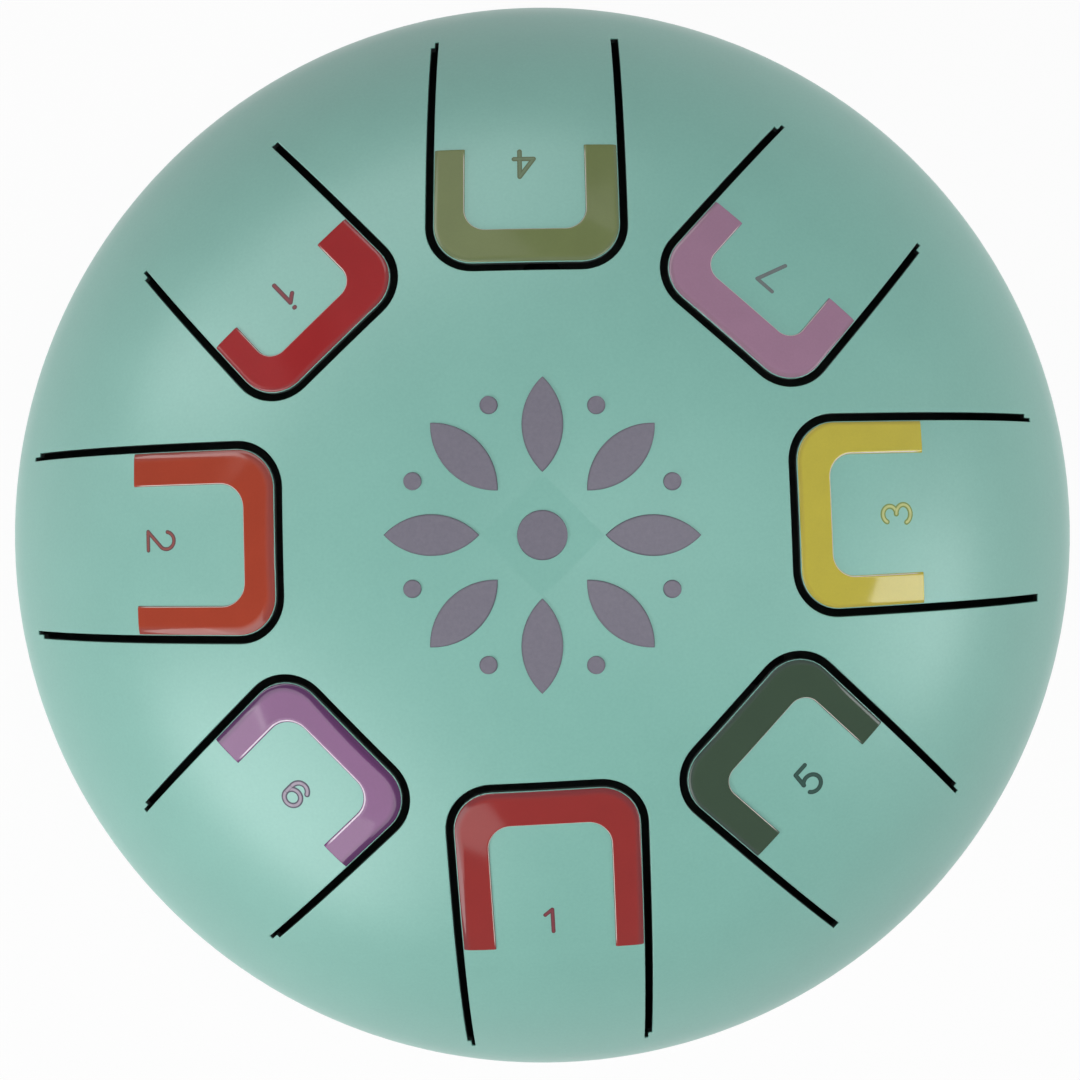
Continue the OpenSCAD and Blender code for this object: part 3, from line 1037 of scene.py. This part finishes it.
# %% Paint the numbers
def enamel(name, fill, outline):
    """Thin satin enamel through a stencil. It pools at the stencil's edge, which leaves a darker outline.
    Here shore runs from 0 at a stroke's edge to 1 on its middle line."""
    finish = Finish(name, **{"Coat Weight": 0.1, "Specular IOR Level": 0.3})
    cloud = finish.noise(0.5 * MM, detail=2)
    inner = finish.mix(cloud, srgb(*fill), srgb(*[0.85 * c for c in fill]))
    colour = finish.mix(finish.attribute("shore").between(0.4, 0.7), srgb(*outline), inner)
    finish.plug(finish.shader, {"Base Color": colour, "Roughness": 0.4 + 0.15 * cloud})
    return finish.material


number_look = {"1": ((136, 56, 66), (96, 46, 54)), "2": ((150, 72, 66), (84, 56, 60)),
               "3": ((206, 212, 142), (118, 140, 66)), "4": ((104, 126, 92), (82, 98, 64)),
               "5": ((38, 76, 66), (26, 60, 54)), "6": ((176, 162, 180), (52, 50, 70)),
               "7": ((120, 128, 128), (104, 114, 116)), "high_1": ((130, 38, 50), (84, 40, 48))}
# Places of each figure in millimetres: distance out of its head and its foot, its middle to the left,
# and the pen's half width
number_place = {"1": (46.4, 50.0, -0.2, 0.26), "2": (45.6, 49.7, -0.4, 0.26), "3": (41.8, 46.2, -0.1, 0.34),
                "4": (44.2, 48.3, 0.2, 0.31), "5": (42.9, 47.0, 0.0, 0.29), "6": (42.3, 46.4, 0.5, 0.37),
                "7": (41.0, 45.3, 0.0, 0.25), "high_1": (42.0, 45.8, 0.5, 0.30)}
for t in tongues:
    paint = enamel("enamel_" + t.note, *number_look[t.note])
    report(number_piece(t, *[c * MM for c in number_place[t.note]], paint))

# %% [markdown]
# ## Centre rosette
# In the drum's middle sits a cut vinyl decoration: eight petals, eight dots and a hub. A petal is
# the overlap of two circles, so its half width at a distance along it is a circle's height less a
# constant. Every shape of it is a grid of the same kind, with its edge pressed round.

# %% Vinyl material and shapes
def grey_vinyl():
    finish = Finish("grey_vinyl", **{"Specular IOR Level": 0.45})
    shore = finish.attribute("shore")
    fleck = finish.noise(0.5 * MM, detail=3, roughness=0.7)
    colour = finish.mix(fleck, srgb(104, 101, 116), srgb(124, 120, 132))
    colour = finish.mix(shore.between(0.02, 0.3), srgb(84, 84, 96), colour)
    finish.plug(finish.shader, {"Base Color": colour, "Roughness": 0.32 + 0.2 * fleck, "Coat Weight": 0.1})
    finish.bump(fleck, 0.02 * MM)
    return finish.material


rosette_radius = 19.0 * MM
petal_length = 11.5 * MM
petal_width = 5.0 * MM
dot_radius = 1.1 * MM
hub_radius = 3.0 * MM
petals = 8
vinyl = 0.19 * MM
vinyl_edge = 0.16 * MM
decal_rows, decal_columns = 37, 19


def decal(patches, along, half, direction):
    """A shape with its middle line on a ray from the axis: along and half give rows, their distance
    and half width. The height is a quarter ellipse of the distance to the outline."""
    c = np.sin(np.linspace(-np.pi / 2, np.pi / 2, decal_columns))
    ray = np.array([np.cos(direction), np.sin(direction)])
    left = np.array([-ray[1], ray[0]])
    plan = along[:, None, None] * ray + (half[:, None] * c)[..., None] * left
    paint, up = lay(plan)
    edge = half[:, None] * (1 - np.abs(c))
    rise, slope = rounded(edge / vinyl_edge)
    sideways = np.append(left, 0) * np.sign(c)[:, None]
    normal = unit(up * rise[..., None] + sideways * slope[..., None])
    low = paint - seat * up
    top = low + (vinyl * rise)[..., None] * up
    patches.grid(top[:, ::-1], normal[:, ::-1], shore=(edge / MM)[:, ::-1])
    patches.grid(low, -up)


def rosette_piece():
    """Petal: half width sqrt(R^2 - s^2) - (R - w / 2), R the circles' radius and s from the middle.
    Dot: half width sqrt(r^2 - s^2). Rows bunch towards the ends."""
    patches = Patches()
    s = np.sin(np.linspace(-np.pi / 2, np.pi / 2, decal_rows))
    reach = petal_length / 2
    disc = (reach ** 2 + (petal_width / 2) ** 2) / petal_width
    petal_half = np.sqrt(disc ** 2 - (reach * s) ** 2) - (disc - petal_width / 2)
    petal_half[[0, -1]] = 0
    round_half = np.sqrt(1 - s ** 2)
    round_half[[0, -1]] = 0
    for k in range(petals):
        turn = 2 * np.pi * k / petals
        decal(patches, rosette_radius - reach + reach * s, petal_half, turn)
        dot_middle = rosette_radius - 2 * dot_radius
        decal(patches, dot_middle + dot_radius * s, dot_radius * round_half, turn + np.pi / petals)
    decal(patches, hub_radius * s, hub_radius * round_half, 0)
    return patches.sew("centre_rosette_vinyl", [grey_vinyl()])


rosette = rosette_piece()
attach(rosette, "drum")
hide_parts("centre_rosette")
report(rosette)

# %% [markdown]
# ## Rubber feet
# Three moulded feet snap through the bottom shell. A foot is a turned part, except that its top
# follows the shell. So its grid goes round the foot's own axis, and each row has a radius and a
# height that may be measured from the shell's outside or inside at that very place.

# %% Feet
foot_top_radius = 8.5 * MM
foot_base_radius = 7.0 * MM
foot_neck_radius = 3.0 * MM
foot_barb_radius = 4.2 * MM
foot_core_radius = 1.5 * MM
foot_round = 0.9 * MM
foot_lip_round = 0.35 * MM
barb_height = 3.0 * MM
ring_count = 96


def facing(points):
    """Normals of a grid that closes round its columns: step to the next column x step to the next row."""
    columns = np.roll(points, -1, axis=1) - np.roll(points, 1, axis=1)
    return unit(np.cross(columns, np.gradient(points, axis=0)))


def soft_rubber():
    finish = Finish("soft_rubber", **{"Specular IOR Level": 0.35})
    dust = finish.noise(1.2 * MM, detail=4, roughness=0.65)
    finish.plug(finish.shader, {"Base Color": finish.mix(dust, srgb(34, 34, 36), srgb(56, 56, 58)),
                                "Roughness": 0.62 + 0.2 * dust})
    finish.bump(dust, 0.03 * MM)
    return finish.material


def foot_piece(name, centre, rubber):
    """Rows from the hollow's end down to the base, up the side, in along the shell, up the neck, out
    and up round the barb to its top. Each stretch is a patch of its own, so its edges stay crisp."""
    around = np.arange(ring_count) * 2 * np.pi / ring_count
    round_turn = np.radians(np.linspace(-90, 0, 7))
    middle_outside = 2 * weld_height - lay(centre)[0][2]
    hollow_top = middle_outside + sheet
    barb_top = middle_outside + sheet + barb_height

    def rows(radius, height, follow=None):
        """follow is 0 for the shell's outside and sheet for its inside, and None for a plain height."""
        radius, height = np.broadcast_arrays(np.asarray(radius, float), np.asarray(height, float))
        plan = centre + radius[:, None, None] * np.stack([np.cos(around), np.sin(around)], axis=-1)
        if follow is None:
            level = np.broadcast_to(height[:, None], plan.shape[:-1])
        else:
            level = lay_under(plan, depth=follow)[0][..., 2] + height[:, None]
        return np.concatenate([plan, level[..., None]], axis=-1)

    slope = (foot_top_radius - foot_base_radius) / middle_outside
    base_bend = rows(foot_base_radius - foot_round + foot_round * np.cos(round_turn),
                     foot_round * (1 + np.sin(round_turn)))
    lip = rows(foot_top_radius - foot_lip_round * (1 - np.cos(round_turn + np.pi / 2)),
               -foot_lip_round * (1 - np.sin(round_turn + np.pi / 2)), 0)
    share = np.linspace(0, 1, 12)[:, None, None]
    side = base_bend[-1] + (lip[0] - base_bend[-1]) * share
    stretches = [
        rows([0, foot_core_radius], hollow_top),
        rows(foot_core_radius, [hollow_top, 0]),
        rows([foot_core_radius, foot_base_radius - foot_round], 0),
        base_bend,
        side,
        lip,
        np.concatenate([lip[-1:], rows([foot_neck_radius], 0, 0)]),
        np.concatenate([rows([foot_neck_radius], 0, 0), rows([foot_neck_radius], 0, sheet)]),
        rows([foot_neck_radius, foot_barb_radius], 0, sheet),
        np.concatenate([rows([foot_barb_radius], 0, sheet), rows([foot_neck_radius], barb_top)]),
        rows([foot_neck_radius, 0], barb_top),
    ]
    patches = Patches()
    for stretch in stretches:
        patches.grid(stretch, facing(stretch), closed=True)
    piece = patches.sew(name + "_rubber", [rubber])
    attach(piece, "drum")
    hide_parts(name)
    return piece


rubber = soft_rubber()
feet = [foot_piece(name, centre, rubber) for name, centre in zip(foot_names, foot_centres)]
for piece in feet:
    report(piece)

# %% [markdown]
# ## Floor, light and camera
# The picture was taken from straight above on a white ground. The floor is white to the camera and
# keeps a share of plain shading, so the drum's shadow stays on it. The world is white where it is
# seen or mirrored, and lights the drum only dimly.
# The even light and the sheen come from different things, so the lamps are of two kinds. Walls only
# light the drum: one overhead, one low on the left, and weaker ones at both sides. Mirrored boxes
# only show in its gloss: four on the left and at the back, and one on the right.

# %% White floor that keeps a shadow
drum_shade = 50 * MM, 88 * MM
shadow_share = 0.06
floor_reach = 1.5


def white_floor():
    """White to the camera and in reflections, mixed with a little plain diffuse that takes shadows.
    Under the drum it is plain all through, so no white shows through the slots and the sound hole."""
    finish = Finish("white_floor", **{"Roughness": 0.9, "Specular IOR Level": 0.0})
    grain = finish.noise(40 * MM, detail=2)
    finish.plug(finish.shader, {"Base Color": finish.mix(grain, srgb(238, 238, 238), srgb(246, 246, 246))})
    seen = finish.followed_as("Is Camera Ray", "Is Glossy Ray", "Is Transmission Ray")
    from_axis = finish.node("ShaderNodeVectorMath", {"operation": "LENGTH"}, {0: finish.place})
    beside = Wire(finish, from_axis.outputs["Value"]).between(*drum_shade)
    glow = finish.node("ShaderNodeEmission", {}, {"Color": (1, 1, 1, 1), "Strength": 1.0})
    mixed = finish.node("ShaderNodeMixShader", {}, {0: seen * beside * (1 - shadow_share),
                                                     1: finish.shader.outputs[0], 2: glow.outputs[0]})
    finish.plug(finish.output, {"Surface": mixed.outputs[0]})
    return finish.material


floor_mesh = bpy.data.meshes.new("floor")
floor_corners = [(x * floor_reach, y * floor_reach, 0) for x, y in ((-1, -1), (1, -1), (1, 1), (-1, 1))]
floor_mesh.from_pydata(floor_corners, [], [(0, 1, 2, 3)])
floor_mesh.materials.append(white_floor())
floor = bpy.data.objects.new("floor", floor_mesh)
bpy.context.scene.collection.objects.link(floor)

# %% The room
room_light = 0.09
world = bpy.data.worlds.new("room")
bpy.context.scene.world = world
room = Page(world)
seen = room.followed_as("Is Camera Ray", "Is Glossy Ray", "Is Transmission Ray")
background = room.node("ShaderNodeBackground", {}, {"Color": (1, 1, 1, 1),
                                                     "Strength": seen * (1 - room_light) + room_light})
room.node("ShaderNodeOutputWorld", {}, {"Surface": background.outputs[0]})


# %% Soft boxes
def soft_box(name, azimuth, from_zenith, width, height, share, mirrored, distance=0.6):
    """A lamp that looks at the dome. share is how bright a white sheet that faces it would be, so its
    power is pi squared times distance squared times share. A mirrored one only shows in gloss, and any
    other one only lights, because the white room is what gloss shows in its place."""
    light = bpy.data.lights.new(name, "AREA")
    light.shape, light.size, light.size_y = "RECTANGLE", width, height
    light.energy = np.pi ** 2 * distance ** 2 * share
    lamp = bpy.data.objects.new(name, light)
    lamp.visible_glossy, lamp.visible_diffuse = mirrored, not mirrored
    a, z = np.radians(azimuth), np.radians(from_zenith)
    way = np.array([np.cos(a) * np.sin(z), np.sin(a) * np.sin(z), np.cos(z)])
    lamp.location = way * distance + np.array([0, 0, weld_height])
    lamp.rotation_euler = (z, 0, a + np.pi / 2)
    bpy.context.scene.collection.objects.link(lamp)
    return lamp


soft_box("top_wall", 0, 12, 0.30, 0.30, 0.475, mirrored=False)
soft_box("left_front_wall", 217, 62, 0.40, 0.20, 0.45, mirrored=False)
soft_box("left_wall", 180, 86, 0.30, 0.15, 0.11, mirrored=False)
soft_box("right_wall", 4, 62, 0.30, 0.20, 0.155, mirrored=False)
soft_box("left_front_high_box", 228, 42, 0.46, 0.13, 0.15, mirrored=True)
soft_box("left_front_low_box", 225, 58, 0.42, 0.22, 0.36, mirrored=True)
soft_box("left_back_box", 112, 51, 0.54, 0.22, 0.29, mirrored=True)
soft_box("far_left_back_box", 156, 57, 0.18, 0.28, 0.20, mirrored=True)
soft_box("right_box", 348, 60, 0.24, 0.24, 0.24, mirrored=True)

# %% Camera straight above
camera_height = 197.4 * MM
sensor = 36.0
frame_px = 1080
focal_px = 1343
drum_centre_px = (542.4, 535.1)
camera_data = bpy.data.cameras.new("camera")
camera_data.sensor_width = sensor
camera_data.lens = focal_px * sensor / frame_px
camera_data.shift_x = (frame_px / 2 - drum_centre_px[0]) / frame_px
camera_data.shift_y = (drum_centre_px[1] - frame_px / 2) / frame_px
camera_data.clip_start = 0.01
camera = bpy.data.objects.new("camera", camera_data)
camera.location = (0, 0, weld_height + camera_height)
bpy.context.scene.collection.objects.link(camera)
bpy.context.scene.camera = camera
bpy.context.scene.view_settings.view_transform = "Standard"
print("lens %.1f mm" % camera_data.lens)
